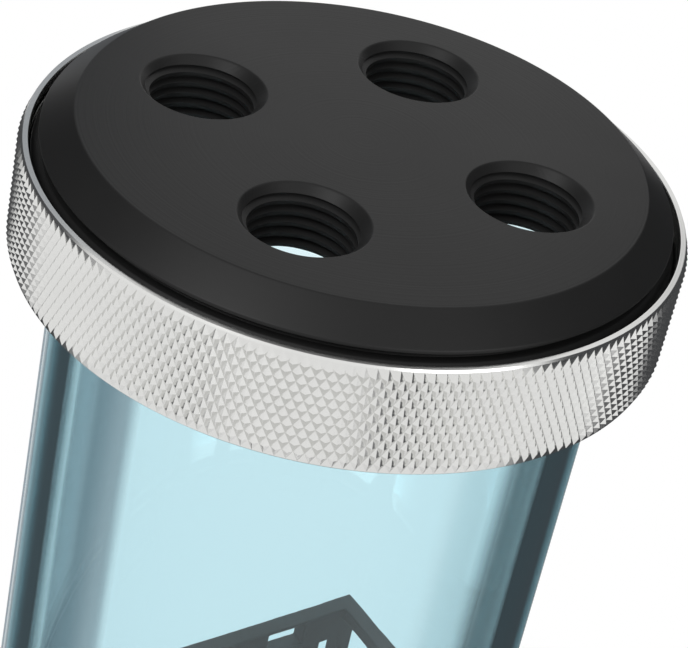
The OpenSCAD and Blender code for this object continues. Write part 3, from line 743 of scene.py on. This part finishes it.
class RESERVOIR_OT_block(bpy.types.Operator):
    """Cuts the block's threads: the lower ring's on its skirt, and the port's in its outlet"""
    bl_idname = "reservoir.block"
    bl_label = "Base block"

    def execute(self, context):
        threads = context.scene.thread_sizes
        block = copy_of("pump_housing", "milled_block")
        foot, end = LOW_RING_MOUTH + 0.45 * MM, HOUSING_TOP
        crest = threads.ring_crest_r
        neck = context.scene.cap_sizes.groove_r + 0.3 * MM
        skirt = turned("skirt", [
            (neck, foot), (threads.ring_root_r, foot), (crest, foot + 0.8 * MM), (crest, end - 0.4 * MM),
            (crest - 0.4 * MM, end), (neck, end)], ROUND)
        cut(block, skirt, "UNION")
        cut(block, die(threads, LOW_RING_MOUTH, foot - 0.2 * MM, end + threads.ring_pitch))
        out = Matrix.Rotation(math.pi / 2, 4, "Y")
        mouth = Vector((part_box("pump_housing")[1].x, OUTLET.y, OUTLET.z))
        cut(block, shift(port_tool(threads, 12 * MM), mouth, out))
        cut(block, shift(tap(threads, 11 * MM), mouth, out))
        fit(smoothed(block, 35), FINISH["block_acetal"], "reservoir", "acetal", "pump_housing")
        return {"FINISHED"}


class RESERVOIR_OT_plug(bpy.types.Operator):
    """Breaks the edges of the spare outlet's plug"""
    bl_idname = "reservoir.plug"
    bl_label = "Blanking plug"

    def execute(self, context):
        plug = bevelled(copy_of("outlet_plug", "blanking_plug"), 0.15 * MM)
        fit(plug, FINISH["plug_nickel"], "reservoir", "plug_nickel", "outlet_plug")
        return {"FINISHED"}


def written(text, size, spot, turn):
    """Text as a solid that reads from below, at a place and a turn about the Z axis."""
    bpy.ops.object.select_all(action="DESELECT")
    bpy.ops.object.text_add()
    bpy.context.object.data.body = text
    bpy.context.object.data.size = size
    bpy.context.object.data.align_x = bpy.context.object.data.align_y = "CENTER"
    bpy.context.object.data.extrude = 0.15 * MM
    bpy.ops.object.convert(target="MESH")
    turned_over = Matrix.Rotation(turn, 4, "Z") @ Matrix.Rotation(math.pi, 4, "X")
    return shift(bpy.context.object, spot, turned_over)


def tick(width, length_, spot, turn):
    """A short straight mark as a solid."""
    bpy.ops.object.select_all(action="DESELECT")
    bpy.ops.mesh.primitive_cube_add(size=1, scale=(width, length_, 0.3 * MM))
    bpy.ops.object.transform_apply(scale=True)
    return shift(bpy.context.object, spot, Matrix.Rotation(turn, 4, "Z"))


class RESERVOIR_OT_cover(bpy.types.Operator):
    """Engraves the pump's cover with the speed dial's five steps, filled with white"""
    bl_idname = "reservoir.cover"
    bl_label = "Pump cover"

    def execute(self, context):
        low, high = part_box("speed_dial")
        middle, reach = (low + high) / 2, (high.x - low.x) / 2
        cover = bevelled(copy_of("can_cover", "pump_cover"), 0.2 * MM)
        marks = []
        for step in range(5):
            # The dial's slot lies along X at rest and turns by 240 degrees, clockwise from below
            angle = math.radians(180 - 60 * step)
            away = Vector((math.cos(angle), math.sin(angle), 0))
            base = Vector((middle.x, middle.y, CAD_BOX[0].z))
            marks.append(tick(0.35 * MM, 1.1 * MM, base + away * (reach + 1.2 * MM), angle + math.pi / 2))
            number_spot = base + away * (reach + 3.1 * MM)
            marks.append(written(str(step + 1), 2.2 * MM, number_spot, angle - math.pi / 2))
        engraver = joined(marks)
        filling = bpy.data.objects.new("dial_numbers", engraver.data.copy())
        context.scene.collection.objects.link(filling)
        filling.data.transform(Matrix.Translation((0, 0, 0.2 * MM)) @ Matrix.Diagonal((1, 1, 0.5, 1)))
        cut(cover, engraver)
        fit(cover, FINISH["can_plastic"], "reservoir", "can_plastic", "can_cover")
        fit(filling, FINISH["marking"], "reservoir", "can_plastic")
        return {"FINISHED"}


# ---- Studio ----

def place_camera():
    """The camera, at the angle that shows the cap, the upper ring and the top of the tube."""
    camera = bpy.data.objects.new("camera", bpy.data.cameras.new("camera"))
    bpy.context.scene.collection.objects.link(camera)
    forward = CAMERA_AHEAD.normalized()
    right = (CAMERA_RIGHT - forward * CAMERA_RIGHT.dot(forward)).normalized()
    up = right.cross(forward)
    turn = Matrix((right, up, -forward)).transposed().to_4x4()
    camera.matrix_world = Matrix.Translation(CAMERA_SPOT) @ turn
    camera.data.sensor_width = CAMERA_SENSOR
    camera.data.lens = CAMERA_LENS
    camera.data.shift_y = CAMERA_SHIFT
    camera.data.clip_start, camera.data.clip_end = 0.01, 20
    bpy.context.scene.camera = camera


def backdrop_ray(tree):
    """1 for rays that should find a white background: from the camera, off a gloss, or through the tube."""
    path = add(tree, "ShaderNodeLightPath")
    seen = add(tree, "ShaderNodeMath", {0: path.outputs["Is Camera Ray"], 1: path.outputs["Is Glossy Ray"]},
               operation="MAXIMUM")
    return add(tree, "ShaderNodeMath", {0: seen.outputs[0], 1: path.outputs["Is Transmission Ray"]},
               operation="MAXIMUM").outputs[0]


def studio_floor(base):
    """A pale floor that holds the shadow under the object, and turns to plain white away from it."""
    material = bpy.data.materials.new("studio_floor")
    material.use_nodes = True
    tree = material.node_tree
    shader = tree.nodes["Principled BSDF"]
    shader.inputs["Base Color"].default_value = (*base, 1)
    shader.inputs["Roughness"].default_value = 0.8
    place = add(tree, "ShaderNodeTexCoord").outputs["Object"]
    far = add(tree, "ShaderNodeMapRange", {"Value": radius_from_axis(tree, place),
                                           "From Min": SHADOW_FLOOR, "From Max": WHITE_FLOOR},
              interpolation_type="SMOOTHSTEP")
    share = add(tree, "ShaderNodeMath", {0: far.outputs[0], 1: backdrop_ray(tree)}, operation="MULTIPLY")
    white = add(tree, "ShaderNodeEmission", {"Color": (1, 1, 1, 1), "Strength": 1.0})
    mixed = add(tree, "ShaderNodeMixShader", {0: share.outputs[0], 1: shader.outputs[0], 2: white.outputs[0]})
    tree.links.new(mixed.outputs[0], tree.nodes["Material Output"].inputs["Surface"])
    return material


def card_paper(name, middle, half, fade, tone):
    """Paper of an even tone round the compass angle of its middle, that thins out to nothing at its ends."""
    material = bpy.data.materials.new(name)
    material.use_nodes = True
    tree = material.node_tree
    place = add(tree, "ShaderNodeTexCoord").outputs["Object"]
    flat = add(tree, "ShaderNodeVectorMath", {0: place, 1: (1, 1, 0)}, operation="MULTIPLY")
    away = add(tree, "ShaderNodeVectorMath", {0: flat.outputs[0]}, operation="NORMALIZE")
    towards = (math.cos(middle), math.sin(middle), 0)
    facing = add(tree, "ShaderNodeVectorMath", {0: away.outputs[0], 1: towards}, operation="DOT_PRODUCT")
    share = add(tree, "ShaderNodeMapRange", {
        "Value": facing.outputs["Value"], "From Min": math.cos(half), "From Max": math.cos(half - fade)},
        interpolation_type="SMOOTHSTEP")
    clear = add(tree, "ShaderNodeBsdfTransparent")
    paper = add(tree, "ShaderNodeEmission", {"Color": (*tone, 1), "Strength": 1.0})
    mixed = add(tree, "ShaderNodeMixShader", {0: share.outputs[0], 1: clear.outputs[0], 2: paper.outputs[0]})
    tree.links.new(mixed.outputs[0], tree.nodes["Material Output"].inputs["Surface"])
    return material


def card(name, start, end, fade, tone):
    """A curved card that stands on the floor round the object, between two compass angles in degrees, with
    ends that fade. The camera doesn't see it."""
    bpy.ops.object.select_all(action="DESELECT")
    bpy.ops.mesh.primitive_plane_add(size=1)
    made = bpy.context.object
    made.name = made.data.name = name
    bpy.ops.object.mode_set(mode="EDIT")
    bpy.ops.mesh.subdivide(number_cuts=CARD_STEPS)
    bpy.ops.object.mode_set(mode="OBJECT")
    for vertex in made.data.vertices:
        angle = math.radians(start + (vertex.co.x + 0.5) * (end - start))
        vertex.co = (CARD_RADIUS * math.cos(angle), CARD_RADIUS * math.sin(angle),
                     (vertex.co.y + 0.5) * CARD_HEIGHT)
    middle, half = math.radians((start + end) / 2), math.radians((end - start) / 2)
    made.data.materials.append(card_paper(name, middle, half, math.radians(fade), linear(tone)))
    made.visible_camera = False
    made.visible_shadow = False
    made.visible_diffuse = False
    return made


def lamp(name, spot, watts):
    """A square soft lamp."""
    light = bpy.data.objects.new(name, bpy.data.lights.new(name, "AREA"))
    bpy.context.scene.collection.objects.link(light)
    light.location = spot
    light.rotation_mode = "QUATERNION"
    light.rotation_quaternion = (Vector(LAMP_AIM) - Vector(spot)).to_track_quat("-Z", "Y")
    light.data.size = LAMP_SIZE
    light.data.energy = watts
    return light


class RESERVOIR_OT_studio(bpy.types.Operator):
    """Sets up the floor, the white surroundings, the cards, the lamps and the camera"""
    bl_idname = "reservoir.studio"
    bl_label = "Studio"

    def execute(self, context):
        bpy.ops.object.select_all(action="DESELECT")
        bpy.ops.mesh.primitive_plane_add(size=FLOOR_SIZE, location=(0, 0, CAD_BOX[0].z))
        floor = context.object
        floor.name = floor.data.name = "floor"
        bpy.ops.object.transform_apply(location=True)
        floor.data.materials.append(studio_floor(context.scene.finishes.floor))
        world = bpy.data.worlds.new("surroundings")
        context.scene.world = world
        world.use_nodes = True
        tree = world.node_tree
        background = tree.nodes["Background"]
        level = add(tree, "ShaderNodeMapRange", {
            "Value": backdrop_ray(tree), "To Min": LIGHT_LEVEL, "To Max": BACKDROP_LEVEL})
        tree.links.new(level.outputs[0], background.inputs["Strength"])
        background.inputs["Color"].default_value = (1, 1, 1, 1)
        for name, spot, watts in LAMPS:
            lamp(name, spot, watts)
        for name, start, end, fade, tone in CARDS:
            card(name, start, end, fade, tone)
        place_camera()
        context.scene.view_settings.view_transform = "Standard"
        return {"FINISHED"}


# ---- Panel, registration and order of work ----

STEPS = (RESERVOIR_OT_finishes, RESERVOIR_OT_cap, RESERVOIR_OT_rings, RESERVOIR_OT_tube, RESERVOIR_OT_cage,
         RESERVOIR_OT_block, RESERVOIR_OT_plug, RESERVOIR_OT_cover, RESERVOIR_OT_studio)


class RESERVOIR_PT_panel(bpy.types.Panel):
    """Sizes, finishes and steps of the reservoir"""
    bl_idname = "RESERVOIR_PT_panel"
    bl_label = "Coolant pump reservoir"
    bl_space_type = "VIEW_3D"
    bl_region_type = "UI"
    bl_category = "Reservoir"

    def draw(self, context):
        for group, made in GROUPS.items():
            box = self.layout.box()
            box.label(text=group.replace("_", " ").capitalize())
            for prop in made.__annotations__:
                box.prop(getattr(context.scene, group), prop)
        for step in STEPS:
            self.layout.operator(step.bl_idname)


def register():
    for made in (*GROUPS.values(), *STEPS, RESERVOIR_PT_panel):
        bpy.utils.register_class(made)
    for name, made in GROUPS.items():
        setattr(bpy.types.Scene, name, bpy.props.PointerProperty(type=made))


def unregister():
    for name in GROUPS:
        delattr(bpy.types.Scene, name)
    for made in (RESERVOIR_PT_panel, *reversed(STEPS), *reversed(GROUPS.values())):
        bpy.utils.unregister_class(made)


def main():
    register()
    for step in STEPS:
        area, name = step.bl_idname.split(".")
        getattr(getattr(bpy.ops, area), name)()


if __name__ == "__main__":
    main()
